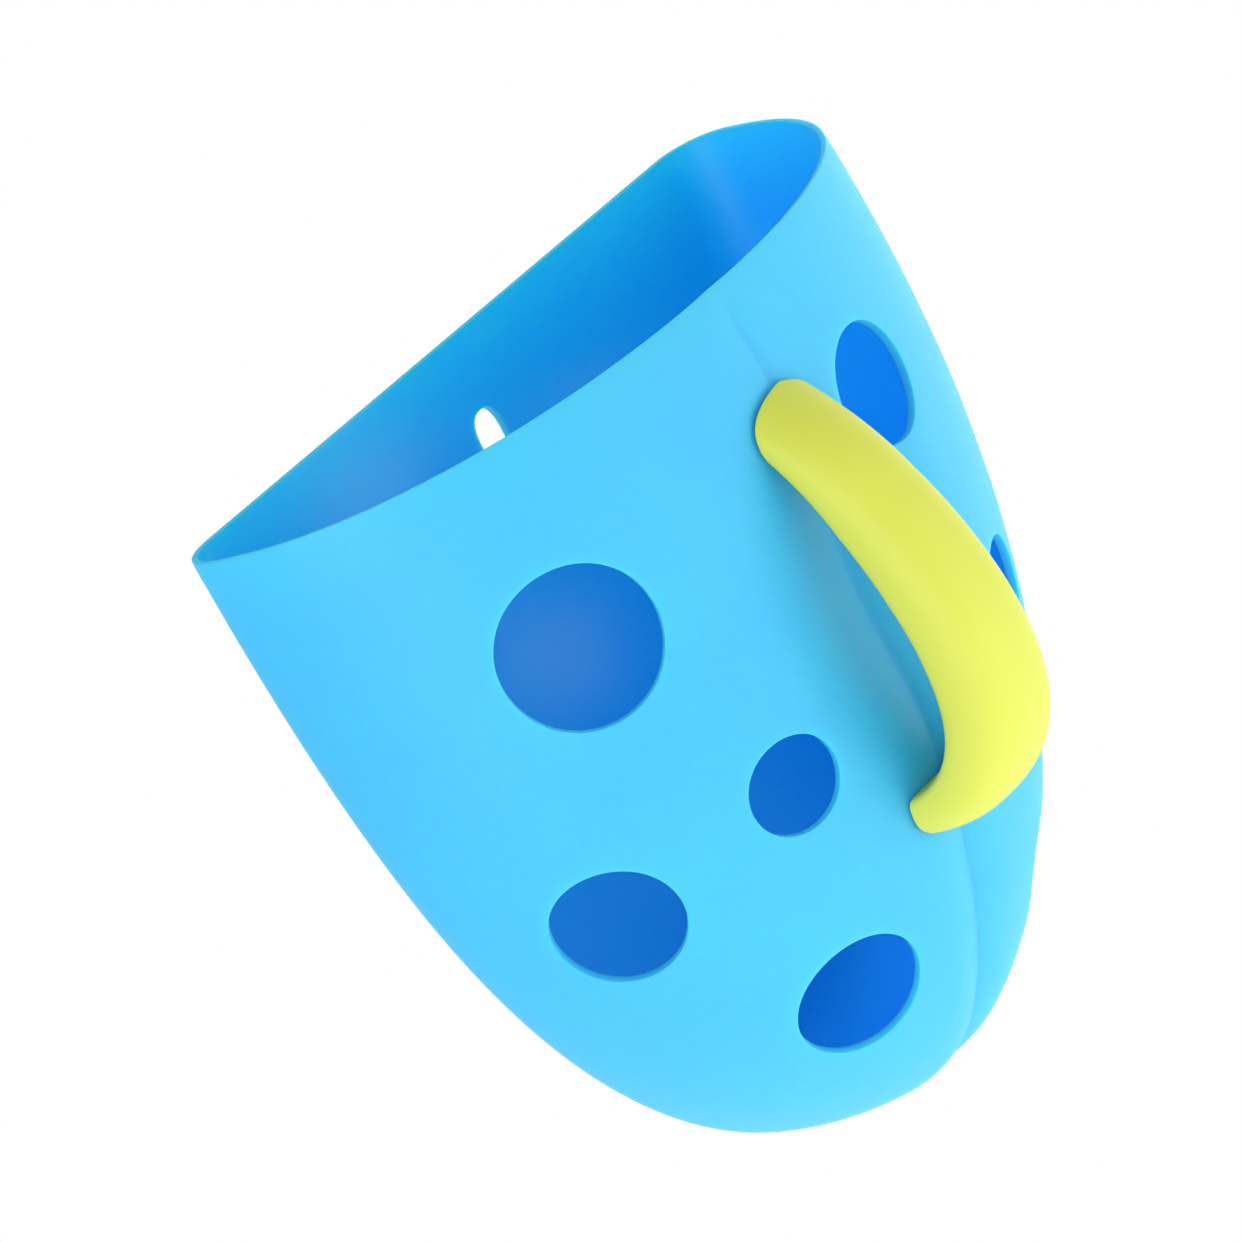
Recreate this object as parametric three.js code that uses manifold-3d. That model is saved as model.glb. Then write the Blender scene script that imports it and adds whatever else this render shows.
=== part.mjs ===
import * as THREE from 'three';
import { mergeVertices } from 'three/addons/utils/BufferGeometryUtils.js';
import Module from 'manifold-3d';

// Wall-hung scoop for bath toys: a moulded bin with a flat back and two rounded front lobes,
// drained by round holes, with a hollow grab handle snapped on across the crease.
// Millimetres, +Z up. The wall is the plane y = 0, the front faces -Y, and the origin is the
// centre of the hanging hole on the wall side.

// Scoop body
const mouthWidth = 216.8;
const mouthDepth = 96;
const scoopHeight = 222;
const wall = 2.2;
const sideSwell = 1.6; // gained by each side below the rim
const backCorner = 19; // rounds the edge between the flat back and the sides
const rimCorner = 14; // the same edge at the rim
const frontPower = 2; // an elliptic front
const rimPower = 2.15; // and a squarer one at the rim
const rimReach = 100; // run below the rim over which its own outline eases out
const toeRun = 1; // depth of the underside beyond that rounded edge
const sideTaper = 5; // lost from each side between the rim and the toe
const frontRise = 65.5; // the front bows out by this slope below the rim
const frontFall = 45.4; // and falls back by this much lower down
const sideTurn = 2.8; // higher keeps the sides straight for longer
const sideRound = 2.04; // higher makes the outline squarer at the bottom
const toeTurn = 1.2;
const toeRound = 2.95;

// Hanging hole in the back panel
const hangWidth = 10;
const hangLength = 17;
const hangDrop = 28; // centre below the rim

// Crease between the lobes, and the dish that makes room for fingers behind the handle
const creaseDepth = 3.2;
const creaseStart = 0.15; // share of that depth at the rim
const creaseHalfWidth = 13;
const creaseFade = 60; // run below the rim over which the crease deepens
const dishDepth = 7.5;
const dishHalfWidth = 38;
const dishDrop = 51.3; // centre below the handle's upper end
const dishReach = 36;

// Drain holes: across is a share of the half width, down a share of the height
const drainHoles = [
  { across: -0.704, down: 0.237, diameter: 41 },
  { across: -0.458, down: 0.5, diameter: 25.5 },
  { across: -0.884, down: 0.55, diameter: 33.5 },
  { across: -0.543, down: 0.78, diameter: 35 },
  { across: 0.294, down: 0.204, diameter: 31.5 },
  { across: 0.52, down: 0.515, diameter: 27 },
  { across: 0.876, down: 0.315, diameter: 26.5 },
  { across: 0.63, down: 0.836, diameter: 27 },
];

// Handle path: drops are measured below the upper end, outs from the crease
const handleDrop = 31; // upper end below the rim
const handleShift = -3.2; // middle of the handle, beside the crease
const footDrop = 109.3;
const rootSink = 4; // the swept grip starts this far behind the wall's face
const rootRise = 3.9; // and this far above the upper end
const footSink = 5;
const riseRun = 13.2;
const riseOut = 14.5;
const crestDrop = 64;
const crestOut = 35;
const crestRun = 24.5;
const hookRun = 3.1;
const hookFall = 3.2;
const hookOut = 34.9;

// Grip section
const gripTopWidth = 25;
const gripFootWidth = 32.2;
const gripTopThick = 7;
const gripMiddleThick = 17.8;
const gripFootThick = 11.4;
const gripWall = 2.2;
const gripEdge = 1.5;
const crownTopPower = 2; // a round crown at the upper end
const crownFootPower = 2.8; // and a flatter one with fuller shoulders at the foot
const coverThick = 2.4;

// Joints between the handle's halves and the body
const seam = 0.3;
const neckGap = 1; // the shell stops short of the body, the neck shows in the gap
const plugLength = 18;
const pegRadius = 2;
const pegHeight = 4;
const bossRadius = 4;
const pegPlaces = [0.32, 0.5, 0.66];
const tenonWidth = 14;
const tenonHeight = 5;
const tenonRoot = 1.5; // overlap of the tenon with its plug
const topTenonShift = 3.7; // from the path's ends towards the grip's middle
const footTenonShift = 2;
const prongKerf = 4;
const barb = 1.2;
const barbLength = 3.5;

// Facets
const bodyRows = 20;
const backSteps = 6;
const cornerSteps = 4;
const frontSteps = 36;
const frontCrowding = 0.6; // below 1 packs the front columns towards the crease
const lipSteps = 3;
const gripRows = 32;
const crownSteps = 12;
const holeSides = 28;
const pegSides = 16;
const nudge = 1e-3;
const toeEdge = 1 - 1e-4; // slopes are taken just short of the toe, where the two sides meet

const wasm = await Module();
wasm.setup();

const rimHeight = hangDrop;
const lipShare = wall / 2 / scoopHeight;
const toeDepth = backCorner + toeRun;

// Closed solids from rings of points, one above the other. A ring whose two sides meet closes
// its end by itself, and any other end gets a cap.
function ringSolid(rings, capFirst = true, capLast = true) {
  const count = rings[0].length;
  const corners = rings.flat();
  const faces = [];
  for (let row = 0; row + 1 < rings.length; row += 1) {
    for (let k = 0; k < count; k += 1) {
      const a = row * count + k;
      const b = row * count + ((k + 1) % count);
      faces.push(a, b, b + count, a, b + count, a + count);
    }
  }
  const last = (rings.length - 1) * count;
  const hub = corners.length;
  corners.push(middle(rings[0]), middle(rings[rings.length - 1]));
  for (let k = 0; k < count; k += 1) {
    const next = (k + 1) % count;
    if (capFirst) faces.push(hub, next, k);
    if (capLast) faces.push(hub + 1, last + k, last + next);
  }
  const shape = new THREE.BufferGeometry().setFromPoints(corners);
  shape.setIndex(faces);
  return toSolid(shape);
}

function middle(points) {
  const sum = new THREE.Vector3();
  points.forEach((point) => sum.add(point));
  return sum.divideScalar(points.length);
}

function toSolid(shape) {
  shape.deleteAttribute('normal');
  shape.deleteAttribute('uv');
  const merged = mergeVertices(shape);
  const corners = merged.index.array;
  const kept = [];
  for (let k = 0; k < corners.length; k += 3) {
    const face = corners.slice(k, k + 3);
    if (new Set(face).size === 3) kept.push(...face);
  }
  const vertProperties = new Float32Array(merged.attributes.position.array);
  const triVerts = new Uint32Array(kept);
  return new wasm.Manifold(new wasm.Mesh({ numProp: 3, vertProperties, triVerts }));
}

function toMesh(solid, name, color, roughness) {
  const { vertProperties, triVerts } = solid.getMesh();
  const shape = new THREE.BufferGeometry();
  shape.setAttribute('position', new THREE.BufferAttribute(vertProperties, 3));
  shape.setIndex(new THREE.BufferAttribute(triVerts, 1));
  shape.computeVertexNormals();
  const material = new THREE.MeshStandardMaterial({ color, roughness, metalness: 0 });
  const mesh = new THREE.Mesh(shape, material);
  mesh.name = name;
  return mesh;
}

// Scoop surface: s runs from 0 at the rim to 1 at the toe
function rimEase(s) {
  return 1 - THREE.MathUtils.smoothstep(s * scoopHeight, 0, rimReach);
}

function cornerRadius(s) {
  return THREE.MathUtils.lerp(backCorner, rimCorner, rimEase(s));
}

function bowPower(s) {
  return THREE.MathUtils.lerp(frontPower, rimPower, rimEase(s));
}

function halfWidth(s) {
  const straight = mouthWidth / 2 + sideSwell * (1 - rimEase(s)) - sideTaper * s;
  return straight * Math.max(0, 1 - s ** sideTurn) ** (1 / sideRound);
}

function lobeDepth(s) {
  const bowed = mouthDepth - toeDepth + frontRise * s - frontFall * s * s;
  return toeDepth + bowed * Math.max(0, 1 - s ** toeTurn) ** (1 / toeRound);
}

function valleyDepth(x, s) {
  const side = Math.abs(x);
  const drop = s * scoopHeight;
  const fade = creaseStart + (1 - creaseStart) * Math.min(1, drop / creaseFade) ** 2;
  const crease = creaseDepth * fade * Math.max(0, 1 - side / creaseHalfWidth) ** 2;
  const along = (drop - handleDrop - dishDrop) / dishReach;
  const across = 0.5 + 0.5 * Math.cos(Math.PI * Math.min(1, side / dishHalfWidth));
  return crease + dishDepth * Math.exp(-along * along) * across;
}

function frontDepth(x, s) {
  const share = Math.min(1, Math.abs(x) / halfWidth(s));
  const power = bowPower(s);
  const bow = (1 - share ** power) ** (1 / power);
  const corner = cornerRadius(s);
  return corner + (lobeDepth(s) - corner - valleyDepth(x, s)) * bow;
}

// Direction square to the outline of the back, in x and z
function outlineNormal(s) {
  const above = Math.max(Math.min(s, toeEdge) - nudge * (1 - toeEdge), 0);
  const below = above + 2 * nudge * (1 - toeEdge);
  const slope = (halfWidth(below) - halfWidth(above)) / ((below - above) * scoopHeight);
  return new THREE.Vector2(1, slope).normalize();
}

// One turn round the scoop at height s: q 0 to 1 is the flat back, 1 to 2 the right corner,
// 2 to 3 the front from right to left, 3 to 4 the left corner. The rounded edge follows the
// outline of the back, so low down the turn rises towards the wall.
function outerPoint(s, q) {
  const turn = ((q % 4) + 4) % 4;
  const zone = Math.floor(turn);
  const part = turn - zone;
  const z = rimHeight - s * scoopHeight;
  const corner = cornerRadius(s);
  if (zone === 2) {
    const flank = Math.cos(Math.PI * part);
    const round = 2 / bowPower(s);
    const x = halfWidth(s) * Math.sign(flank) * Math.abs(flank) ** round;
    const bow = lobeDepth(s) - corner - valleyDepth(x, s);
    return new THREE.Vector3(x, -corner - bow * Math.sin(Math.PI * part) ** round, z);
  }
  const edge = outlineNormal(s);
  const angle = (Math.PI / 2) * [0, part, 0, 1 - part][zone];
  const side = [2 * part - 1, 1, 0, -1][zone];
  const inset = corner * (1 - Math.sin(angle));
  const reach = Math.max(halfWidth(s) - inset * edge.x, 0);
  const y = -corner * (1 - Math.cos(angle));
  return new THREE.Vector3(side * reach, y, z - s * inset * edge.y);
}

function outerNormal(s, q) {
  const at = Math.min(s, toeEdge);
  const along = outerPoint(at, q + nudge).sub(outerPoint(at, q - nudge));
  const step = nudge * (1 - at);
  const down = outerPoint(at + step, q).sub(outerPoint(Math.max(at - step, 0), q));
  return along.cross(down).normalize();
}

function offsetPoint(s, q, distance) {
  const point = outerPoint(s, q).addScaledVector(outerNormal(s, q), distance);
  if (s === 1) point.x = 0;
  return point;
}

function columnPlaces() {
  const places = [];
  for (let k = 0; k < backSteps; k += 1) places.push(k / backSteps);
  for (let k = 0; k < cornerSteps; k += 1) places.push(1 + k / cornerSteps);
  for (let k = 0; k < frontSteps; k += 1) {
    const span = (2 * k) / frontSteps - 1;
    places.push(2.5 + (frontCrowding * span + (1 - frontCrowding) * span ** 3) / 2);
  }
  for (let k = 0; k < cornerSteps; k += 1) places.push(3 + k / cornerSteps);
  return places;
}

// Rows start where the rounded lip ends and crowd towards the toe
function rowPlaces() {
  const place = (_, row) => 1 - (1 - lipShare) * (1 - row / bodyRows) ** 2;
  return Array.from({ length: bodyRows + 1 }, place);
}

const columns = columnPlaces().reverse();
const rows = rowPlaces();

// The scoop filled in and grown by a distance, to trim what seats against it
function scoopEnvelope(distance) {
  const rings = rows.map((s) => columns.map((q) => offsetPoint(s, q, distance)));
  return ringSolid(rings.reverse(), false);
}

function scoopShell() {
  const outside = rows.map((s) => columns.map((q) => outerPoint(s, q)));
  const inside = rows.map((s) => columns.map((q) => offsetPoint(s, q, -wall)));
  const lipBase = outside[0][0].z;
  inside[0].forEach((point) => point.setZ(lipBase));
  const lip = [];
  for (let step = 1; step < lipSteps; step += 1) {
    const angle = (Math.PI * step) / lipSteps;
    lip.push(outside[0].map((point, k) => {
      const centre = point.clone().lerp(inside[0][k], 0.5);
      const turned = centre.clone().lerp(point, Math.cos(angle));
      return turned.setZ(lipBase + (wall / 2) * Math.sin(angle));
    }));
  }
  return ringSolid([...outside.reverse(), ...lip, ...inside], false, false);
}

function drainCutter({ across, down, diameter }) {
  const flank = Math.sign(across) * Math.abs(across) ** (bowPower(down) / 2);
  const q = 2 + Math.acos(flank) / Math.PI;
  const axis = outerNormal(down, q);
  const shape = new THREE.CylinderGeometry(diameter / 2, diameter / 2, diameter, holeSides);
  const turn = new THREE.Quaternion().setFromUnitVectors(new THREE.Vector3(0, 1, 0), axis);
  shape.applyQuaternion(turn);
  const centre = offsetPoint(down, q, -wall / 2);
  shape.translate(centre.x, centre.y, centre.z);
  return toSolid(shape);
}

// A slot with rounded corners lying in the XZ plane, cut from y = from to y = to
function slotCutter(width, height, radius, x, z, from, to) {
  const reachX = width / 2 - radius;
  const reachZ = height / 2 - radius;
  const outline = new THREE.Shape();
  outline.absarc(reachX, reachZ, radius, 0, Math.PI / 2);
  outline.absarc(-reachX, reachZ, radius, Math.PI / 2, Math.PI);
  outline.absarc(-reachX, -reachZ, radius, Math.PI, 1.5 * Math.PI);
  outline.absarc(reachX, -reachZ, radius, 1.5 * Math.PI, 2 * Math.PI);
  const shape = new THREE.ExtrudeGeometry(outline, {
    depth: to - from,
    bevelEnabled: false,
    curveSegments: holeSides / 4,
  });
  shape.rotateX(Math.PI / 2);
  shape.translate(x, to, z);
  return toSolid(shape);
}

// Handle path in the middle plane
const lowEnd = handleDrop + footDrop;
const crest = new THREE.Vector2(handleDrop + crestDrop, crestOut);
const handlePath = new THREE.CurvePath();
handlePath.add(new THREE.CubicBezierCurve(
  new THREE.Vector2(handleDrop - rootRise, -rootSink),
  new THREE.Vector2(handleDrop + riseRun, riseOut),
  new THREE.Vector2(crest.x - crestRun, crestOut),
  crest,
));
handlePath.add(new THREE.CubicBezierCurve(
  crest,
  new THREE.Vector2(crest.x + hookRun, crestOut),
  new THREE.Vector2(lowEnd + hookFall, hookOut),
  new THREE.Vector2(lowEnd, -footSink),
));
const pathLength = handlePath.getLength();
const tenonDrops = [handleDrop + topTenonShift, lowEnd - footTenonShift];

function spinePoint(t) {
  const place = handlePath.getPoint(t);
  const s = place.x / scoopHeight;
  return new THREE.Vector3(0, -frontDepth(0, s) - place.y, rimHeight - place.x);
}

// Outward direction of the grip in the middle plane
function spineNormal(t) {
  const ahead = spinePoint(Math.min(t + nudge, 1)).sub(spinePoint(Math.max(t - nudge, 0)));
  return new THREE.Vector3(0, ahead.z, -ahead.y).normalize();
}

function gripWidth(t) {
  return gripTopWidth + (gripFootWidth - gripTopWidth) * t;
}

function crownPower(t) {
  return crownTopPower + (crownFootPower - crownTopPower) * t;
}

function gripThick(t) {
  const ends = gripTopThick * (1 - t) * (1 - 2 * t) + gripFootThick * t * (2 * t - 1);
  return ends + gripMiddleThick * 4 * t * (1 - t);
}

// Sweeps a crowned section along the grip from t = from to t = to. It is as wide as the grip less
// inset on each side. Heights are measured from the underside: sides rise to the shoulder, and the
// crown closes over at high.
function gripSweep({ from = 0, to = 1, inset = 0, edge = 0, low = 0, shoulder, high }) {
  const rings = [];
  for (let row = 0; row <= gripRows; row += 1) {
    const t = from + ((to - from) * row) / gripRows;
    const half = gripWidth(t) / 2 - inset;
    const round = 2 / crownPower(t);
    const ring = [gripPoint(t, -half + edge, low), gripPoint(t, half - edge, low)];
    for (let step = 0; step <= crownSteps; step += 1) {
      const angle = (Math.PI * step) / crownSteps;
      const side = Math.cos(angle);
      const across = Math.sign(side) * Math.abs(side) ** round;
      const up = Math.abs(Math.sin(angle)) ** round;
      ring.push(gripPoint(t, half * across, shoulder + (high(t) - shoulder) * up));
    }
    rings.push(ring);
  }
  return ringSolid(rings);
}

function gripPoint(t, x, height) {
  const point = spinePoint(t).addScaledVector(spineNormal(t), height - gripThick(t) / 2);
  point.x = handleShift + x;
  return point;
}

// A round post square to the grip, between two heights above the underside
function gripPost(t, radius, low, high) {
  const shape = new THREE.CylinderGeometry(radius, radius, high - low, pegSides);
  const up = new THREE.Vector3(0, 1, 0);
  shape.applyQuaternion(new THREE.Quaternion().setFromUnitVectors(up, spineNormal(t)));
  const centre = gripPoint(t, 0, (low + high) / 2);
  shape.translate(centre.x, centre.y, centre.z);
  return toSolid(shape);
}

// Snap tenon: two prongs with barbs that catch behind the front wall
function tenon(drop) {
  const s = drop / scoopHeight;
  const half = tenonWidth / 2;
  const kerf = prongKerf / 2;
  const sides = [handleShift - half - barb, handleShift + half + barb];
  const face = -Math.max(...sides.map((x) => frontDepth(x, s)));
  const root = face - seam - tenonRoot;
  const grab = -frontDepth(0, s) + wall + barb;
  const tip = grab + barbLength;
  const right = [[half, root], [half, grab], [half + barb, grab], [half - barb, tip], [kerf, tip], [kerf, face]];
  const left = right.map(([x, y]) => [-x, y]).reverse();
  const outline = new THREE.Shape([...right, ...left].map(([x, y]) => new THREE.Vector2(x, y)));
  const shape = new THREE.ExtrudeGeometry(outline, { depth: tenonHeight, bevelEnabled: false });
  shape.translate(handleShift, 0, rimHeight - drop - tenonHeight / 2);
  return toSolid(shape);
}

function tenonSlot(drop) {
  const face = -frontDepth(0, drop / scoopHeight);
  const width = tenonWidth + 2 * seam;
  const height = tenonHeight + 2 * seam;
  const reach = wall + creaseDepth + dishDepth;
  return slotCutter(width, height, seam, handleShift, rimHeight - drop, face - reach, face + reach);
}

function makeScoopBody() {
  const cutters = drainHoles.map(drainCutter);
  cutters.push(slotCutter(hangWidth, hangLength, hangWidth / 2, 0, 0, -2 * wall, wall));
  tenonDrops.forEach((drop) => cutters.push(tenonSlot(drop)));
  return cutters.reduce((body, cutter) => body.subtract(cutter), scoopShell());
}

function makeHandleShell() {
  const cavityTop = (t) => gripThick(t) - gripWall;
  const skin = gripSweep({ edge: gripEdge, shoulder: gripEdge, high: gripThick });
  const cavity = gripSweep({
    inset: gripWall,
    low: -gripEdge,
    shoulder: coverThick + seam,
    high: cavityTop,
  });
  let shell = skin.subtract(cavity);
  const bossLow = coverThick + 2 * seam;
  const boreTop = bossLow + pegHeight + seam;
  pegPlaces.forEach((t) => {
    shell = shell.add(gripPost(t, bossRadius, bossLow, cavityTop(t) + gripWall / 2));
    shell = shell.subtract(gripPost(t, pegRadius + seam, coverThick, boreTop));
  });
  return shell.subtract(scoopEnvelope(neckGap));
}

function makeHandleCover() {
  const inset = gripWall + seam;
  const plate = gripSweep({ inset, shoulder: coverThick - seam, high: () => coverThick });
  const plugTop = (t) => gripThick(t) - gripWall - seam;
  const plug = { inset, shoulder: coverThick, high: plugTop };
  const plugShare = plugLength / pathLength;
  let cover = plate.add(gripSweep({ ...plug, to: plugShare }));
  cover = cover.add(gripSweep({ ...plug, from: 1 - plugShare }));
  const pegTop = coverThick + 2 * seam + pegHeight;
  pegPlaces.forEach((t) => {
    cover = cover.add(gripPost(t, pegRadius, coverThick / 2, pegTop));
  });
  cover = cover.subtract(scoopEnvelope(seam));
  tenonDrops.forEach((drop) => {
    cover = cover.add(tenon(drop));
  });
  return cover;
}

const toyScoop = new THREE.Group();
toyScoop.name = 'toy_scoop';
toyScoop.add(toMesh(makeScoopBody(), 'scoop_body', 0x55c4ff, 0.42));
toyScoop.add(toMesh(makeHandleShell(), 'handle_shell', 0xe0e65c, 0.45));
toyScoop.add(toMesh(makeHandleCover(), 'handle_cover', 0xe0e65c, 0.45));

export default toyScoop;
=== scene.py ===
import math

import bmesh
import bpy
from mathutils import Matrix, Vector


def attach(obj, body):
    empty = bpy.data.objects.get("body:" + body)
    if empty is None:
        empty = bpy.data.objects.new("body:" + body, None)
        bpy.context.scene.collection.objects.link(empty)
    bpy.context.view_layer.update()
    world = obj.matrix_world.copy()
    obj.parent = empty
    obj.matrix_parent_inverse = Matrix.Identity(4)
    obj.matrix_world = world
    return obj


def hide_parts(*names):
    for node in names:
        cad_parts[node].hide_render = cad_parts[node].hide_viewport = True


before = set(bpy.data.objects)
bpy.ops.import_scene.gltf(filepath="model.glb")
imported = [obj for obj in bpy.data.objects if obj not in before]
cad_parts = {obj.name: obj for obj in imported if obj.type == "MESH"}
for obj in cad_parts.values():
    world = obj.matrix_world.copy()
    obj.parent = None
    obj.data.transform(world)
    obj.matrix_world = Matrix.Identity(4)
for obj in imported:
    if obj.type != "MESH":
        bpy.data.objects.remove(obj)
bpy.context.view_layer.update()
print("frame loaded:", ", ".join(sorted(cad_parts)))

# satin plastics for the scoop and its handle

moulding = {
    "ior": 1.49,
    "driftScale": 14.0,
    "driftDetail": 3.0,
    "driftRange": (0.35, 0.7),
    "rubTurn": (0.5, 0.9, 0.3),
    "rubStretch": (30.0, 420.0, 420.0),
    "rubRange": (0.5, 0.8),
    "fineDetail": 2.0,  # of the scuffs and the grain
    "grainHeight": 0.0002,
    "panelY": (-0.012, -0.003),  # the back panel's polish sets in between these
    "panelZ": (-0.13, -0.08),  # and fades out between these, towards the toe
}

scoopFinish = {
    # the red in the outside's colour is partly painted sheen; the inside's colour further down is the
    # copy with painted shade
    "base": (0.032, 0.45, 0.94, 1.0),
    "pale": (0.038, 0.48, 0.96, 1.0),  # slow drift of the pigment
    "shine": 0.55,
    "roughness": (0.52, 0.62),
    "polish": 0.0,
    "grain": 2600.0,
    "grainDepth": 0.05,
    "scuff": 0.004,
    "glow": 0.9,  # light that soaks through the thin wall
    "glowReach": (0.001, 0.0064, 0.013),
}

# the same plastic inside, where it is less rubbed; its colour is a deeper, purer blue than the
# outside's, which is painted shade of the hollow, and the outside's extra red is painted sheen
shadedInsideFinish = dict(
    scoopFinish,
    base=(0.005, 0.43, 0.99, 1.0),
    pale=(0.008, 0.455, 1.0, 1.0),
    shine=0.7,
    roughness=(0.62, 0.70),
    polish=0.36,  # the flat back panel shines more than the lobes
    grainDepth=0.01,
    scuff=0.0,
    glow=1.0,
)

handleFinish = {
    "base": (0.60, 0.65, 0.062, 1.0),
    "pale": (0.63, 0.685, 0.078, 1.0),
    "shine": 0.6,
    "roughness": (0.48, 0.58),
    "polish": 0.0,
    "grain": 2200.0,
    "grainDepth": 0.06,
    "scuff": 0.02,
    "glow": 0.2,
    "glowReach": (0.004, 0.004, 0.0015),
}


def noise(tree, vector, scale, detail):
    node = tree.nodes.new("ShaderNodeTexNoise")
    node.inputs["Scale"].default_value = scale
    node.inputs["Detail"].default_value = detail
    tree.links.new(vector, node.inputs["Vector"])
    return node


def mapRange(tree, value, source, target, curve="LINEAR"):
    node = tree.nodes.new("ShaderNodeMapRange")
    node.interpolation_type = curve
    node.inputs["From Min"].default_value, node.inputs["From Max"].default_value = source
    node.inputs["To Min"].default_value, node.inputs["To Max"].default_value = target
    tree.links.new(value, node.inputs["Value"])
    return node


def satinPlastic(name, finish):
    material = bpy.data.materials.new(name)
    material.use_nodes = True
    tree = material.node_tree
    nodes, links = tree.nodes, tree.links
    shader = nodes["Principled BSDF"]
    shader.inputs["IOR"].default_value = moulding["ior"]
    shader.inputs["Specular IOR Level"].default_value = finish["shine"]
    shader.inputs["Subsurface Weight"].default_value = finish["glow"]
    shader.inputs["Subsurface Radius"].default_value = finish["glowReach"]
    shader.inputs["Subsurface Scale"].default_value = 1.0
    place = nodes.new("ShaderNodeTexCoord").outputs["Object"]

    # pigment drifts slowly over a moulding
    drift = noise(tree, place, moulding["driftScale"], moulding["driftDetail"])
    tint = nodes.new("ShaderNodeValToRGB")
    stops = zip(tint.color_ramp.elements, moulding["driftRange"], ("base", "pale"))
    for stop, position, colour in stops:
        stop.position = position
        stop.color = finish[colour]
    links.new(drift.outputs["Fac"], tint.inputs["Fac"])
    links.new(tint.outputs["Color"], shader.inputs["Base Color"])

    # long thin scuffs, rubbed in one direction
    squeeze = nodes.new("ShaderNodeMapping")
    squeeze.inputs["Rotation"].default_value = moulding["rubTurn"]
    squeeze.inputs["Scale"].default_value = moulding["rubStretch"]
    links.new(place, squeeze.inputs["Vector"])
    rub = noise(tree, squeeze.outputs["Vector"], 1.0, moulding["fineDetail"])
    scuff = mapRange(tree, rub.outputs["Fac"], moulding["rubRange"], (0, finish["scuff"]))

    # gloss breaks up a little with the same drift, and where it is scuffed
    gloss = mapRange(tree, drift.outputs["Fac"], (0, 1), finish["roughness"])
    worn = nodes.new("ShaderNodeMath")
    worn.operation = "ADD"
    links.new(gloss.outputs["Result"], worn.inputs[0])
    links.new(scuff.outputs["Result"], worn.inputs[1])

    # the flat back panel is smoother, less so towards the toe
    split = nodes.new("ShaderNodeSeparateXYZ")
    links.new(place, split.inputs["Vector"])
    upper = mapRange(tree, split.outputs["Z"], moulding["panelZ"], (0, finish["polish"]), "SMOOTHSTEP")
    panel = mapRange(tree, split.outputs["Y"], moulding["panelY"], (0, 1), "SMOOTHSTEP")
    links.new(upper.outputs["Result"], panel.inputs["To Max"])
    smooth = nodes.new("ShaderNodeMath")
    smooth.operation = "SUBTRACT"
    links.new(worn.outputs["Value"], smooth.inputs[0])
    links.new(panel.outputs["Result"], smooth.inputs[1])
    links.new(smooth.outputs["Value"], shader.inputs["Roughness"])

    # fine tool grain
    grain = noise(tree, place, finish["grain"], moulding["fineDetail"])
    bump = nodes.new("ShaderNodeBump")
    bump.inputs["Strength"].default_value = finish["grainDepth"]
    bump.inputs["Distance"].default_value = moulding["grainHeight"]
    links.new(grain.outputs["Fac"], bump.inputs["Height"])
    links.new(bump.outputs["Normal"], shader.inputs["Normal"])
    return material


scoopPlastic = satinPlastic("scoopPlastic", scoopFinish)
scoopShadedInside = satinPlastic("scoopShadedInside", shadedInsideFinish)
handlePlastic = satinPlastic("handlePlastic", handleFinish)
print("materials: scoop, scoop inside and handle plastic")

# scoop: the CAD surface with rounded lips

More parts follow.
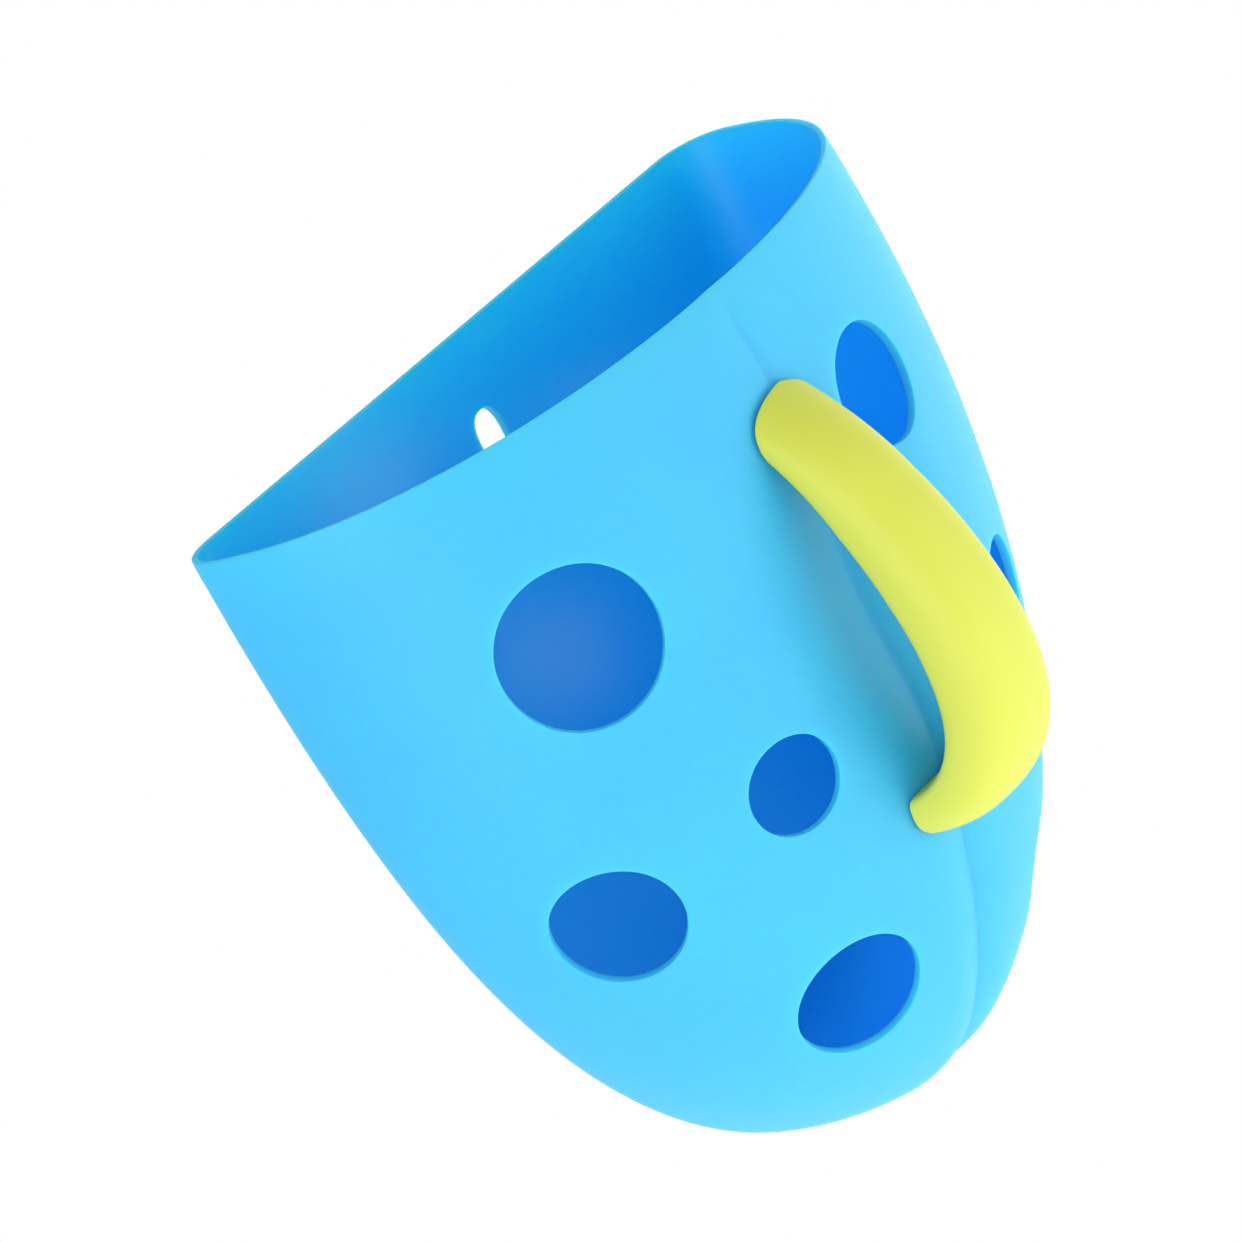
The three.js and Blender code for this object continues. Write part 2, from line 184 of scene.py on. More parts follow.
scoop = {
    "mouthWidth": 0.2168,
    "mouthDepth": 0.096,
    "height": 0.222,
    "rimZ": 0.028,  # the origin is the hanging hole's centre
    "wall": 0.0022,
    "sideSwell": 0.0016,
    "backCorner": 0.019,
    "rimCorner": 0.014,  # the rim is a squarer D than the rest
    "rimPower": 2.15,
    "rimReach": 0.100,
    "toeDepth": 0.020,
    "sideTaper": 0.005,
    "frontRise": 0.0655,
    "frontFall": 0.0454,
    "sideTurn": 2.8,
    "sideRound": 2.04,
    "toeTurn": 1.2,
    "toeRound": 2.95,
    "creaseDepth": 0.0032,
    "creaseStart": 0.15,
    "creaseHalf": 0.013,
    "creaseFade": 0.060,
    "creaseSharp": 0.7,
    "creaseFirm": 0.6,  # least share of that sharpness, up at the rim
    "creaseFront": -0.021,  # the back has no crease
    # fine line above the handle
    "foldDepth": 0.0008,
    "foldHalf": 0.0024,
    "foldSpan": (0.003, 0.060),
    "foldFades": (0.006, 0.015),
    "dishDepth": 0.0075,
    "dishHalf": 0.038,
    "dishDrop": 0.0823,
    "dishReach": 0.036,
    "rows": 64,
    "rowCrowding": 1.5,  # above 1 packs the rows towards the toe
    "backSteps": 28,
    "backCrowding": 0.5,
    "cornerSteps": 10,
    "frontSteps": 84,
    "frontCrowding": 0.55,
    "lipRound": 0.00075,
    "lipSteps": 3,
    "lipAngle": 60,
    "rimThin": (0.7, 0.020),  # share of the wall left at the rim, and how far down it thins
    # rows under the rim: drop, dip below the skin
    "rimLip": ((0.0, 0.0001), (0.0012, 0.0), (0.0024, 0.0)),
    # drain holes: share of the half width, share of the height, radius
    "drains": [
        (-0.704, 0.237, 0.0205),
        (-0.458, 0.500, 0.01275),
        (-0.884, 0.550, 0.01675),
        (-0.543, 0.780, 0.0175),
        (0.294, 0.204, 0.01575),
        (0.520, 0.515, 0.0135),
        (0.876, 0.315, 0.01325),
        (0.630, 0.836, 0.0135),
    ],
    "drainMargin": 0.0055,
    "drainPower": 2,  # 2 is round, more is squarer
    # rings up to a hole's edge: distance from it, dip below the skin
    "drainLip": ((0.0026, 0.0), (0.0012, 0.00003), (0.0, 0.00012)),
    "slotLip": ((0.0016, 0.0), (0.0011, 0.00002), (0.0, 0.0001)),
    "hangSlot": (0.005, 0.0085),  # half width, half length
    "hangPower": 2.6,
    "slotMargin": 0.0026,
    "tenonSlot": (0.0073, 0.0028),
    "tenonPower": 8,
    "tenonDrops": (0.0347, 0.1383),
    "tenonX": -0.0032,
    "holeReach": 0.02,  # a hole takes no points deeper than this, such as the far wall's
    "ringLimits": (0.94, 0.9),  # keep the first ring and the lip's rings from crossing the last
    "settleTurns": 7,
    "mergeGap": 1e-6,
}


def rimEase(s):
    run = min(max(s * scoop["height"] / scoop["rimReach"], 0), 1)
    return 1 - run * run * (3 - 2 * run)


def cornerRadius(s):
    return scoop["backCorner"] + (scoop["rimCorner"] - scoop["backCorner"]) * rimEase(s)


def bowPower(s):
    return 2 + (scoop["rimPower"] - 2) * rimEase(s)


def halfWidth(s):
    swell = scoop["sideSwell"] * (1 - rimEase(s))
    straight = scoop["mouthWidth"] / 2 + swell - scoop["sideTaper"] * s
    return straight * (1 - s ** scoop["sideTurn"]) ** (1 / scoop["sideRound"])


def lobeDepth(s):
    mouth = scoop["mouthDepth"] - scoop["toeDepth"]
    bowed = mouth + scoop["frontRise"] * s - scoop["frontFall"] * s * s
    return scoop["toeDepth"] + bowed * (1 - s ** scoop["toeTurn"]) ** (1 / scoop["toeRound"])


def valleyDepth(x, s):
    side = abs(x)
    drop = s * scoop["height"]
    run = min(1, max(0, drop) / scoop["creaseFade"])
    fade = scoop["creaseStart"] + (1 - scoop["creaseStart"]) * run ** 2
    crease = scoop["creaseDepth"] * fade * max(0, 1 - side / scoop["creaseHalf"]) ** 2
    along = (drop - scoop["dishDrop"]) / scoop["dishReach"]
    across = 0.5 + 0.5 * math.cos(math.pi * min(1, side / scoop["dishHalf"]))
    return crease + scoop["dishDepth"] * math.exp(-along * along) * across


def frontDepth(x, s):
    share = min(1, abs(x) / halfWidth(s))
    power = bowPower(s)
    bow = (1 - share ** power) ** (1 / power)
    corner = cornerRadius(s)
    return corner + (lobeDepth(s) - corner - valleyDepth(x, s)) * bow


def frontPlace(across, s):
    flank = math.copysign(abs(across) ** (bowPower(s) / 2), across)
    return 2 + math.acos(flank) / math.pi


def foldDepth(x, s):
    start, end = scoop["foldSpan"]
    fadeIn, fadeOut = scoop["foldFades"]
    drop = s * scoop["height"]
    if drop < start or drop > end:
        return 0
    fade = min(1, (drop - start) / fadeIn, (end - drop) / fadeOut)
    return scoop["foldDepth"] * fade * max(0, 1 - abs(x) / scoop["foldHalf"])


def outlineSlant(s):
    step = 1e-7
    low = min(s, 0.9999) + step  # the slope grows without end at the toe
    slope = (halfWidth(low) - halfWidth(max(low - 2 * step, 0))) / (2 * step * scoop["height"])
    length = math.hypot(1, slope)
    return 1 / length, slope / length


def scoopPoint(s, q):
    # s runs from rim to toe, q goes round: back, right corner, front, left corner
    s = min(max(s, 0), 1)
    q = q % 4
    zone = int(q)
    part = q - zone
    corner = cornerRadius(s)
    z = scoop["rimZ"] - s * scoop["height"]
    if zone == 2:
        flank = math.cos(math.pi * part)
        roundness = 2 / bowPower(s)
        x = halfWidth(s) * math.copysign(abs(flank) ** roundness, flank)
        bow = lobeDepth(s) - corner - valleyDepth(x, s) - foldDepth(x, s)
        return Vector((x, -corner - bow * math.sin(math.pi * part) ** roundness, z))
    slantX, slantZ = outlineSlant(s)
    angle = math.pi / 2 * (0, part, 0, 1 - part)[zone]
    side = (2 * part - 1, 1, 0, -1)[zone]
    inset = corner * (1 - math.sin(angle))
    reach = max(halfWidth(s) - inset * slantX, 0)
    return Vector((side * reach, -corner * (1 - math.cos(angle)), z - s * inset * slantZ))


def scoopNormal(s, q):
    step = 1e-3
    along = scoopPoint(s, q + step) - scoopPoint(s, q - step)
    down = scoopPoint(s + step, q) - scoopPoint(s - step, q)
    return along.cross(down).normalized()


def crowded(count, crowding):
    for k in range(count):
        span = 2 * k / count - 1
        yield 0.5 + (crowding * span + (1 - crowding) * span ** 3) / 2


def newVerts(extruded):
    return [item for item in extruded["geom"] if isinstance(item, bmesh.types.BMVert)]


def edgesAmong(verts):
    # edges with both ends among these points, in the same order every run
    kept = set(verts)
    near = dict.fromkeys(edge for vert in verts for edge in vert.link_edges)
    return [edge for edge in near if set(edge.verts) <= kept]


def partner(vert, known):
    # the neighbour that a point was extruded from
    return next(e.other_vert(vert) for e in vert.link_edges if e.other_vert(vert) in known)


def nextRing(bm, ring):
    # extrudes a ring, with its new points in the order of the old ones
    known = set(ring)
    fresh = newVerts(bmesh.ops.extrude_edge_only(bm, edges=edgesAmong(ring)))
    after = {partner(vert, known): vert for vert in fresh}
    return [after[vert] for vert in ring]


def settle(spot, a, b, s, q):
    # finds the place on the scoop that lies over (a, b) in the hole's own plane
    step = 1e-4
    for turn in range(scoop["settleTurns"]):
        off = scoopPoint(s, q) - spot["centre"]
        ds = (scoopPoint(s + step, q) - scoopPoint(s - step, q)) / (2 * step)
        dq = (scoopPoint(s, q + step) - scoopPoint(s, q - step)) / (2 * step)
        m11, m12 = ds.dot(spot["across"]), dq.dot(spot["across"])
        m21, m22 = ds.dot(spot["up"]), dq.dot(spot["up"])
        missA = a - off.dot(spot["across"])
        missB = b - off.dot(spot["up"])
        size = m11 * m22 - m12 * m21
        s += (missA * m22 - missB * m12) / size
        q += (m11 * missB - m21 * missA) / size
    return s, q


def cutHole(bm, grid, places, s, q, halfA, halfB, power, margin, lip, finer=False):
    # opens a block of the grid and closes it again with rings that end on the hole's outline
    normal = scoopNormal(s, q)
    spot = {"centre": scoopPoint(s, q)}
    spot["across"] = Vector((0, 0, 1)).cross(normal).normalized()
    spot["up"] = normal.cross(spot["across"])

    def flat(point):
        off = point - spot["centre"]
        return off.dot(spot["across"]), off.dot(spot["up"]), off.dot(normal)

    rowsIn, columnsIn = [], []
    for j, row in enumerate(grid):
        for i, vert in enumerate(row):
            if not vert.is_valid:
                continue
            a, b, depth = flat(vert.co)
            near = abs(depth) < scoop["holeReach"]
            if near and abs(a) < halfA + margin and abs(b) < halfB + margin:
                rowsIn.append(j)
                columnsIn.append(i)
    j0, j1 = min(rowsIn) - 1, max(rowsIn) + 1
    i0, i1 = min(columnsIn) - 1, max(columnsIn) + 1
    rim = [grid[j0][i] for i in range(i0, i1 + 1)] + [grid[j1][i] for i in range(i0, i1 + 1)]
    rim += [grid[j][i] for j in range(j0 + 1, j1) for i in (i0, i1)]
    inner = [grid[j][i] for j in range(j0 + 1, j1) for i in range(i0 + 1, i1)]
    bmesh.ops.delete(bm, geom=inner, context="VERTS")
    loop = [edge for edge in edgesAmong(rim) if edge.is_boundary]
    if finer:
        for edge in loop[:]:
            half, vert = bmesh.utils.edge_split(edge, edge.verts[0], 0.5)
            places[vert] = settle(spot, *flat(vert.co)[:2], s, q)
            vert.co = scoopPoint(*places[vert])
            rim.append(vert)
            loop.append(half)
    start = {vert: flat(vert.co)[:2] for vert in rim}
    lipWidth = lip[0][0]
    firstLimit, lipLimit = scoop["ringLimits"]
    for gap, dip in ((lipWidth * 2, 0), *lip):
        limit = firstLimit if gap > lipWidth else lipLimit * gap / lipWidth
        fresh = newVerts(bmesh.ops.extrude_edge_only(bm, edges=loop))
        moved = {}
        for vert in fresh:
            old = partner(vert, start)
            a, b = start[old]
            angle = math.atan2(b / halfB, a / halfA)
            edgeA = halfA * math.copysign(abs(math.cos(angle)) ** (2 / power), math.cos(angle))
            edgeB = halfB * math.copysign(abs(math.sin(angle)) ** (2 / power), math.sin(angle))
            run = math.hypot(edgeA - a, edgeB - b)
            share = 1 - min(gap / run, limit)
            goalA, goalB = a + (edgeA - a) * share, b + (edgeB - b) * share
            guess = settle(spot, goalA, goalB, *places[old])
            vert.co = scoopPoint(*guess) - scoopNormal(*guess) * dip
            places[vert] = guess
            moved[vert] = (a, b)
        loop = edgesAmong(fresh)
        start = moved


def makeScoop():
    columns = list(crowded(scoop["backSteps"], scoop["backCrowding"]))
    columns += [1 + k / scoop["cornerSteps"] for k in range(scoop["cornerSteps"])]
    columns += [2 + part for part in crowded(scoop["frontSteps"], scoop["frontCrowding"])]
    columns += [3 + k / scoop["cornerSteps"] for k in range(scoop["cornerSteps"])]
    bm = bmesh.new()
    ring = bmesh.ops.create_circle(bm, segments=len(columns), radius=0.1)["verts"]
    places = {}
    levels = [(drop / scoop["height"], dip) for drop, dip in scoop["rimLip"]]
    start = levels[-1][0]
    for row in range(1, scoop["rows"] + 1):
        left = (1 - row / scoop["rows"]) ** scoop["rowCrowding"]
        levels.append((1 - (1 - start) * left, 0))
    for vert, q in zip(ring, columns):
        vert.co = scoopPoint(0, q) - scoopNormal(0, q) * levels[0][1]
        places[vert] = (0, q)
    grid = [ring]
    for s, dip in levels[1:]:
        ring = nextRing(bm, ring)
        for vert, q in zip(ring, columns):
            vert.co = scoopPoint(s, q) - scoopNormal(s, q) * dip if dip else scoopPoint(s, q)
            places[vert] = (s, q)
        grid.append(ring)

    for across, down, radius in scoop["drains"]:
        q = frontPlace(across, down)
        shape = (radius, radius, scoop["drainPower"])
        cutHole(bm, grid, places, down, q, *shape, scoop["drainMargin"], scoop["drainLip"])
    slotMargin, slotLip = scoop["slotMargin"], scoop["slotLip"]
    s, q = scoop["rimZ"] / scoop["height"], 0.5  # the middle of the back
    shape = (*scoop["hangSlot"], scoop["hangPower"])
    cutHole(bm, grid, places, s, q, *shape, slotMargin, slotLip, finer=True)
    shape = (*scoop["tenonSlot"], scoop["tenonPower"])
    for drop in scoop["tenonDrops"]:
        s = drop / scoop["height"]
        q = frontPlace(scoop["tenonX"] / halfWidth(s), s)
        cutHole(bm, grid, places, s, q, *shape, slotMargin, slotLip, finer=True)

    # the crease stays crisp under the subdivision
    crease = bm.edges.layers.float.new("crease_edge")
    for edge in bm.edges:
        ends = [vert.co for vert in edge.verts]
        if all(abs(co.x) < scoop["mergeGap"] and co.y < scoop["creaseFront"] for co in ends):
            drop = scoop["rimZ"] - (ends[0].z + ends[1].z) / 2
            firm = min(1, max(scoop["creaseFirm"], drop / scoop["creaseFade"]))
            edge[crease] = scoop["creaseSharp"] * firm

    bmesh.ops.remove_doubles(bm, verts=bm.verts, dist=scoop["mergeGap"])
    bmesh.ops.dissolve_degenerate(bm, edges=bm.edges, dist=scoop["mergeGap"] / 10)
    bmesh.ops.recalc_face_normals(bm, faces=bm.faces)

    # the wall thins towards the rim
    share, reach = scoop["rimThin"]
    weights = bm.verts.layers.deform.new()
    for vert in bm.verts:
        run = min(1, max(0, scoop["rimZ"] - vert.co.z) / reach)
        vert[weights][0] = share + (1 - share) * run
    for face in bm.faces:
        face.smooth = True
    mesh = bpy.data.meshes.new("scoopBody")
    bm.to_mesh(mesh)
    bm.free()
    piece = bpy.data.objects.new("scoopBody", mesh)
    piece.vertex_groups.new(name="wallShare")
    bpy.context.scene.collection.objects.link(piece)
    mesh.materials.append(scoopPlastic)
    mesh.materials.append(scoopShadedInside)

    skin = piece.modifiers.new("wall", "SOLIDIFY")
    skin.material_offset = 1  # the inside has its own material, with its own gloss and a colour that holds painted shade
    skin.thickness = scoop["wall"]
    skin.vertex_group = "wallShare"
    skin.offset = -1
    skin.use_even_offset = True
    lips = piece.modifiers.new("lips", "BEVEL")
    lips.width = scoop["lipRound"]
    lips.segments = scoop["lipSteps"]
    lips.limit_method = "ANGLE"
    lips.angle_limit = math.radians(scoop["lipAngle"])
    fine = piece.modifiers.new("fine", "SUBSURF")
    fine.levels = 1
    fine.render_levels = 1
    return piece


scoopBody = makeScoop()
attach(scoopBody, "root")
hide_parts("scoop_body")
print("scoop:", len(scoopBody.data.vertices), "points before its wall")

# handle: two halves swept along one path

handle = {
    "drop": 0.031,
    "shift": scoop["tenonX"],  # the handle sits a little left of the crease
    "footDrop": 0.1093,
    "rootSink": 0.004,
    "rootRise": 0.0039,
    "footSink": 0.005,
    "riseRun": 0.0132,
    "riseOut": 0.0145,
    "crestDrop": 0.064,
    "crestOut": 0.035,
    "crestRun": 0.0245,
    "hookRun": 0.0031,
    "hookFall": 0.0032,
    "hookOut": 0.0349,
    "topWidth": 0.025,
    "footWidth": 0.0322,
    "topThick": 0.007,
    "middleThick": 0.0178,
    "footThick": 0.0114,
    "wall": 0.0022,
    "edge": 0.0015,
    "edgeTurn": 0.3,  # how far the corner cuts into that edge
    "crownPower": (2.0, 2.8),  # round at the upper end, fuller shoulders at the foot
    "coverThick": 0.0024,
    "seam": 0.0003,
    "neckGap": (0.0006, 0.0009),  # at the underside, and what the crown adds to it
    "neckSearch": (0.3, 0.72),  # shares of the path that are clear of the scoop
    "neckHalvings": 28,
    "plugShare": 0.13,
    "plugStep": (0.0001, 0.001),  # the rows on both sides of a plug's step
    "rows": 72,
    "crownSteps": 36,
    "pathSteps": 240,
    "slopeStep": 0.006,
    "edgeRound": 0.0006,
    "edgeSteps": 2,
    "edgeAngle": 50,
    # snap tenon: half width, height, kerf, barb, barb length
    "tenon": (0.007, 0.005, 0.002, 0.0012, 0.0035),
    "tenonRoot": 0.0015,
}


def bezierPoint(points, u):
    while len(points) > 1:
        points = [a.lerp(b, u) for a, b in zip(points, points[1:])]
    return points[0]


def gripCurves():
    top = handle["drop"]
    low = top + handle["footDrop"]
    crest = Vector((top + handle["crestDrop"], handle["crestOut"]))
    rise = [Vector((top - handle["rootRise"], -handle["rootSink"]))]
    rise.append(Vector((top + handle["riseRun"], handle["riseOut"])))
    rise.append(Vector((crest.x - handle["crestRun"], crest.y)))
    rise.append(crest)
    hook = [crest, Vector((crest.x + handle["hookRun"], crest.y))]
    hook.append(Vector((low + handle["hookFall"], handle["hookOut"])))
    hook.append(Vector((low, -handle["footSink"])))
    return rise, hook


def gripTable():
    # places along both curves with the share of the whole length reached there
    steps = handle["pathSteps"]
    table = []
    run = 0
    for curve in gripCurves():
        for k in range(steps + 1):
            point = bezierPoint(curve, k / steps)
            if table:
                run += (point - table[-1][1]).length
            table.append((run, point))
    return [(length / run, point) for length, point in table]


gripPlaces = gripTable()


def spinePoint(t):
    low, high = 0, len(gripPlaces) - 1
    while high - low > 1:
        mid = (low + high) // 2
        if gripPlaces[mid][0] <= t:
            low = mid
        else:
            high = mid
    (lengthA, a), (lengthB, b) = gripPlaces[low], gripPlaces[high]
    place = a.lerp(b, (t - lengthA) / max(lengthB - lengthA, 1e-9))
    skinDepth = frontDepth(0, place.x / scoop["height"])
    return Vector((0, -skinDepth - place.y, scoop["rimZ"] - place.x))


def gripPoint(t, x, height):
    step = handle["slopeStep"]
    ahead = spinePoint(min(t + step, 1)) - spinePoint(max(t - step, 0))
    out = Vector((0, ahead.z, -ahead.y)).normalized()
    point = spinePoint(t) + out * (height - gripThick(t) / 2)
    point.x = handle["shift"] + x
    return point


def gripWidth(t):
    return handle["topWidth"] + (handle["footWidth"] - handle["topWidth"]) * t


def gripThick(t):
    # a parabola through the three thicknesses
    ends = handle["topThick"] * (1 - t) * (1 - 2 * t) + handle["footThick"] * t * (2 * t - 1)
    return ends + handle["middleThick"] * 4 * t * (1 - t)


def crown(t, half, shoulder, high, steps):
    # right to left over the top
    top, foot = handle["crownPower"]
    roundness = 2 / (top + (foot - top) * t)
    for k in range(steps + 1):
        angle = math.pi * k / steps
        side = math.copysign(abs(math.cos(angle)) ** roundness, math.cos(angle))
        yield half * side, shoulder + (high - shoulder) * abs(math.sin(angle)) ** roundness


def shellSection(t, share):
    # share goes unused here: the cover's section needs it, and both are swept alike
    half = gripWidth(t) / 2
    thick = gripThick(t)
    edge = handle["edge"]
    turn = edge * handle["edgeTurn"]
    outer = [(half - edge, 0), (half - turn, turn)]
    outer += list(crown(t, half, edge, thick, handle["crownSteps"]))
    outer += [(-half + turn, turn), (-half + edge, 0)]
    half -= handle["wall"]
    shoulder = handle["coverThick"] + handle["seam"]
    inner = [(half, 0), (half, shoulder / 2)]
    inner += list(crown(t, half, shoulder, thick - handle["wall"], handle["crownSteps"]))
    inner += [(-half, shoulder / 2), (-half, 0)]
    return outer + inner[::-1]


def coverSection(t, share):
    half = gripWidth(t) / 2 - handle["wall"] - handle["seam"]
    plug = min(share, 1 - share) < handle["plugShare"]
    high = gripThick(t) - handle["wall"] - handle["seam"] if plug else handle["coverThick"]
    shoulder = handle["coverThick"] if plug else handle["coverThick"] - handle["seam"]
    return [(-half, 0), (half, 0)] + list(crown(t, half, shoulder, high, handle["crownSteps"]))


def standOff(point, gap):
    return -point.y - frontDepth(point.x, (scoop["rimZ"] - point.z) / scoop["height"]) - gap


def trackEnd(section, index, inside, outside, gap):
    # where one line of the sweep comes out of the scoop's skin
    share = 0 if inside < 0.5 else 1
    for turn in range(handle["neckHalvings"]):
        mid = (inside + outside) / 2
        if standOff(gripPoint(mid, *section(mid, share)[index]), gap) < 0:
            inside = mid
        else:
            outside = mid
    return outside


def sweepGrip(bm, section, gap, crownGap, shares):
    heights = [height for x, height in section(0.5, 0.5)]
    clearTop, clearFoot = handle["neckSearch"]
    ends = []
    for k, height in enumerate(heights):
        stop = gap + crownGap * (height / max(heights)) ** 2
        top = trackEnd(section, k, 0, clearTop, stop)
        ends.append((top, trackEnd(section, k, 1, clearFoot, stop)))
    ring = bmesh.ops.create_circle(bm, segments=len(heights), radius=0.01)["verts"]
    rings = []
    for share in shares:
        if rings:
            ring = nextRing(bm, ring)
        for k, (vert, (top, foot)) in enumerate(zip(ring, ends)):
            t = top + (foot - top) * share
            vert.co = gripPoint(t, *section(t, share)[k])
        rings.append(ring)
    return rings


def chainEdges(verts):
    found = []
    for a, b in zip(verts, verts[1:]):
        found.append(next(e for e in a.link_edges if e.other_vert(a) == b))
    return found


def finishGrip(bm, name, node):
    bmesh.ops.recalc_face_normals(bm, faces=bm.faces)
    for face in bm.faces:
        face.smooth = True
    mesh = bpy.data.meshes.new(name)
    bm.to_mesh(mesh)
    bm.free()
    piece = bpy.data.objects.new(name, mesh)
    bpy.context.scene.collection.objects.link(piece)
    mesh.materials.append(handlePlastic)
    soft = piece.modifiers.new("edges", "BEVEL")
    soft.width = handle["edgeRound"]
    soft.segments = handle["edgeSteps"]
    soft.limit_method = "ANGLE"
    soft.angle_limit = math.radians(handle["edgeAngle"])
    soft.harden_normals = True
    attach(piece, "root")
    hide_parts(node)
    return piece


def makeShell():
    bm = bmesh.new()
    shares = [k / handle["rows"] for k in range(handle["rows"] + 1)]
    rings = sweepGrip(bm, shellSection, *handle["neckGap"], shares)
    half = len(rings[0]) // 2
    for ring in (rings[0], rings[-1]):
        bmesh.ops.bridge_loops(bm, edges=chainEdges(ring[:half]) + chainEdges(ring[half:]))
    return finishGrip(bm, "handleShell", "handle_shell")


def makeCover():
    bm = bmesh.new()
    shares = [k / handle["rows"] for k in range(handle["rows"] + 1)]
    plug = handle["plugShare"]
    before, after = handle["plugStep"]
    shares = sorted(shares + [plug - before, plug + after, 1 - plug - after, 1 - plug + before])
    rings = sweepGrip(bm, coverSection, handle["seam"], 0, shares)
    for ring in (rings[0], rings[-1]):
        bmesh.ops.contextual_create(bm, geom=ring)
    half, height, kerf, barb, barbLength = handle["tenon"]
    for drop in scoop["tenonDrops"]:
        s = drop / scoop["height"]
        sides = [handle["shift"] - half - barb, handle["shift"] + half + barb]
        face = -max(frontDepth(x, s) for x in sides)
        root = face - handle["seam"] - handle["tenonRoot"]
        grab = -frontDepth(0, s) + scoop["wall"] + barb
        tip = grab + barbLength
        right = [(half, root), (half, grab), (half + barb, grab)]
        right += [(half - barb, tip), (kerf, tip), (kerf, face)]
        outline = right + [(-x, y) for x, y in reversed(right)]
        low = scoop["rimZ"] - drop - height / 2
        corners = [(handle["shift"] + x, y, low) for x, y in outline]
        verts = [bmesh.ops.create_vert(bm, co=corner)["vert"][0] for corner in corners]
        flat = bmesh.ops.contextual_create(bm, geom=verts)["faces"]
        raised = newVerts(bmesh.ops.extrude_face_region(bm, geom=flat))
        bmesh.ops.translate(bm, verts=raised, vec=(0, 0, height))
    return finishGrip(bm, "handleCover", "handle_cover")


handleShell = makeShell()
handleCover = makeCover()
shellPoints, coverPoints = len(handleShell.data.vertices), len(handleCover.data.vertices)
print("handle:", shellPoints, "points in the shell,", coverPoints, "in the cover")

# floor, light and camera

studio = {
    "floorZ": -0.75,
    "floorRadius": 2.6,
    "floorColor": (0.9, 0.9, 0.9, 1.0),
    "floorRoughness": 0.9,
    "floorGlow": 0.65,  # a lit table, up to the white round it
    "floorFade": (0.5, 1.1),  # the floor melts into that white between these
    "air": (0.36, 1.6),  # dimmest behind the wall side, brightest low in front
    "brightSide": (0.35, -0.5, -0.8),
    "brightRange": (-0.8, 1.0),
    "lamps": {
        "key": {"at": (0.45, -1.5, -0.15), "size": 1.5, "power": 4.0},
        "fill": {"at": (-1.7, -0.35, 0.05), "size": 1.5, "power": 14.0},
        "side": {"at": (1.4, 0.15, 0.1), "size": 1.5, "power": 2.5},
        "top": {"at": (-0.3, -0.2, 1.5), "size": 1.0, "power": 0.5},
    },
    "aim": (0.0, -0.05, -0.08),
}


def makeFloor():
    bm = bmesh.new()
    bmesh.ops.create_circle(bm, cap_ends=True, segments=96, radius=studio["floorRadius"])
    bmesh.ops.translate(bm, verts=bm.verts, vec=(0, 0, studio["floorZ"]))
    mesh = bpy.data.meshes.new("floor")
    bm.to_mesh(mesh)
    bm.free()
    floor = bpy.data.objects.new("floor", mesh)
    bpy.context.scene.collection.objects.link(floor)
    material = bpy.data.materials.new("paleFloor")
    material.use_nodes = True
    tree = material.node_tree
    nodes, links = tree.nodes, tree.links
    shader = nodes["Principled BSDF"]
    shader.inputs["Base Color"].default_value = studio["floorColor"]
    shader.inputs["Roughness"].default_value = studio["floorRoughness"]
    shader.inputs["Emission Color"].default_value = (1, 1, 1, 1)
    shader.inputs["Emission Strength"].default_value = studio["floorGlow"]
    place = nodes.new("ShaderNodeTexCoord")
    length = nodes.new("ShaderNodeVectorMath")
    length.operation = "LENGTH"
    links.new(place.outputs["Object"], length.inputs[0])
    fade = mapRange(tree, length.outputs["Value"], studio["floorFade"], (0, 1), "SMOOTHSTEP")
    clear = nodes.new("ShaderNodeBsdfTransparent")
    blend = nodes.new("ShaderNodeMixShader")
    links.new(fade.outputs["Result"], blend.inputs["Fac"])
    links.new(shader.outputs["BSDF"], blend.inputs[1])
    links.new(clear.outputs["BSDF"], blend.inputs[2])
    links.new(blend.outputs["Shader"], nodes["Material Output"].inputs["Surface"])
    mesh.materials.append(material)
    return floor


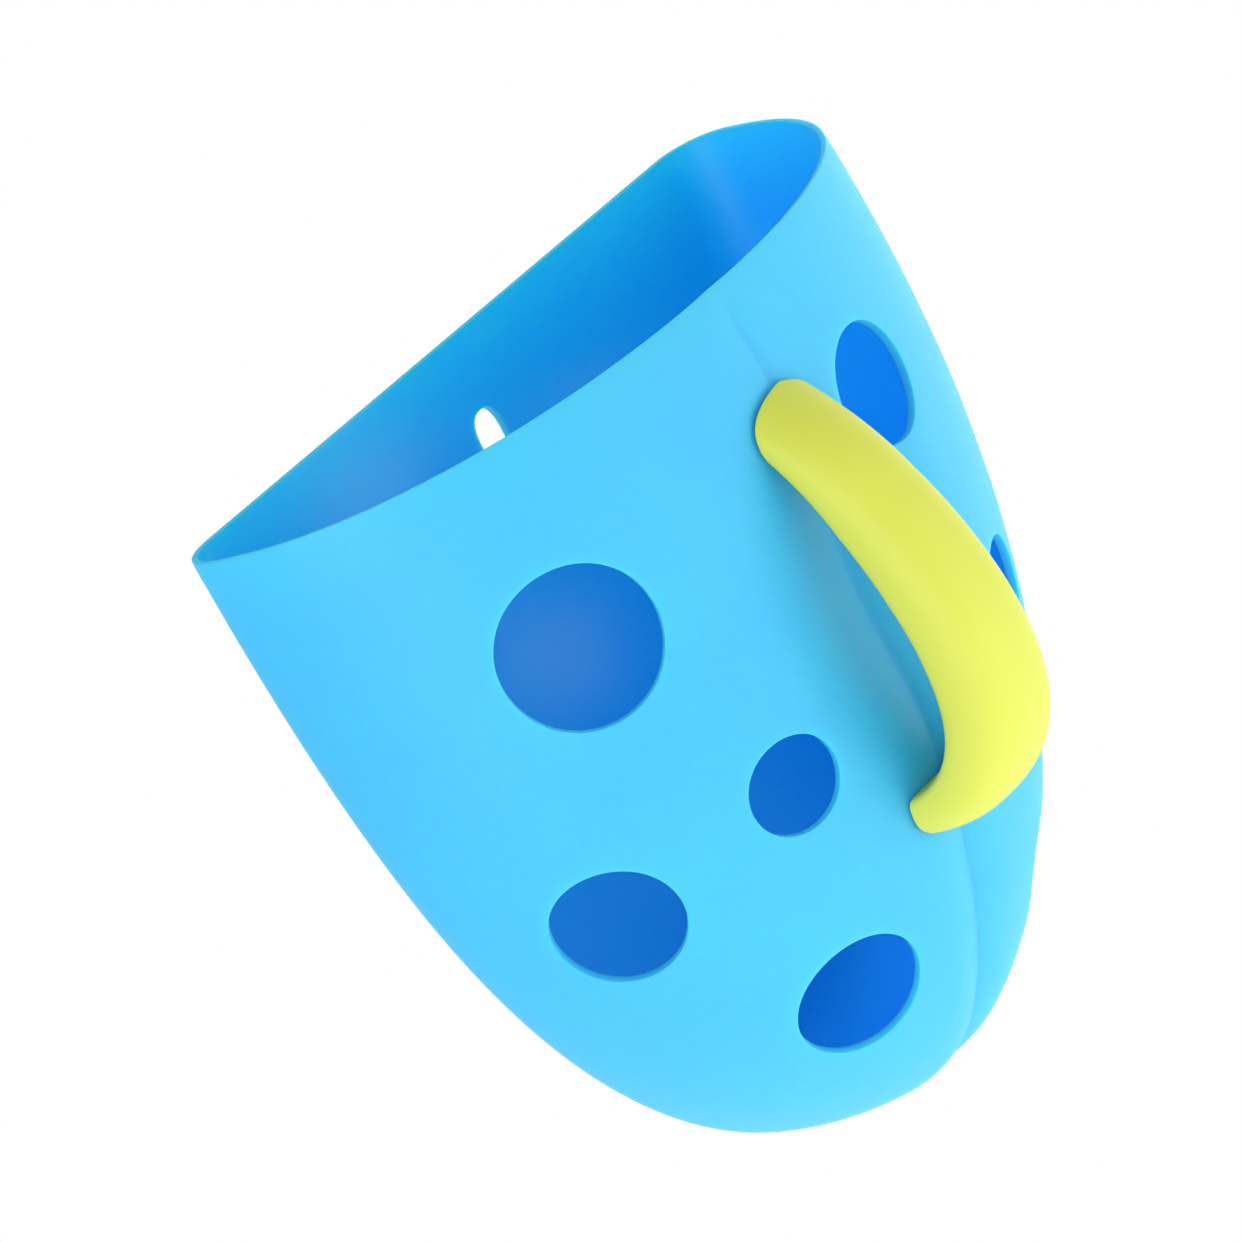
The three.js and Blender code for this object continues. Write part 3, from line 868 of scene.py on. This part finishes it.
def makeWorld():
    world = bpy.data.worlds.new("studioAir")
    world.use_nodes = True
    bpy.context.scene.world = world
    tree = world.node_tree
    nodes, links = tree.nodes, tree.links
    seen = nodes.new("ShaderNodeLightPath")  # plain white where the camera sees it
    either = nodes.new("ShaderNodeMath")
    either.operation = "MAXIMUM"
    links.new(seen.outputs["Is Camera Ray"], either.inputs[0])
    links.new(seen.outputs["Is Transmission Ray"], either.inputs[1])
    place = nodes.new("ShaderNodeTexCoord")
    facing = nodes.new("ShaderNodeVectorMath")
    facing.operation = "DOT_PRODUCT"
    facing.inputs[1].default_value = Vector(studio["brightSide"]).normalized()
    links.new(place.outputs["Object"], facing.inputs[0])
    glow = mapRange(tree, facing.outputs["Value"], studio["brightRange"], studio["air"])
    level = mapRange(tree, either.outputs["Value"], (0, 1), (0, 1))
    links.new(glow.outputs["Result"], level.inputs["To Min"])
    nodes["Background"].inputs["Color"].default_value = (1, 1, 1, 1)
    links.new(level.outputs["Result"], nodes["Background"].inputs["Strength"])


def softBox(name, look):
    lamp = bpy.data.lights.new(name, "AREA")
    lamp.shape = "DISK"
    lamp.size = look["size"]
    lamp.energy = look["power"]
    box = bpy.data.objects.new(name, lamp)
    bpy.context.scene.collection.objects.link(box)
    box.location = look["at"]
    aim = Vector(studio["aim"]) - Vector(look["at"])
    box.rotation_euler = aim.to_track_quat("-Z", "Y").to_euler()


floor = makeFloor()
makeWorld()
for name, look in studio["lamps"].items():
    softBox(name, look)

shot = {
    "at": (-0.97465, -1.10456, 0.40600),
    "turn": (70.449, 26.276, -50.672),  # degrees; the view leans to the left
    "focalPixels": 6151.24,
    "framePixels": 1242,
    "sensor": 36,
}

camera = bpy.data.cameras.new("shot")
camera.sensor_fit = "HORIZONTAL"
camera.sensor_width = shot["sensor"]
camera.lens = shot["focalPixels"] * shot["sensor"] / shot["framePixels"]
cameraObject = bpy.data.objects.new("shot", camera)
cameraObject.location = shot["at"]
cameraObject.rotation_euler = [math.radians(angle) for angle in shot["turn"]]
bpy.context.scene.collection.objects.link(cameraObject)
bpy.context.scene.camera = cameraObject
bpy.context.scene.view_settings.view_transform = "Standard"
print("studio: floor, lamps and camera")

bpy.context.view_layer.update()
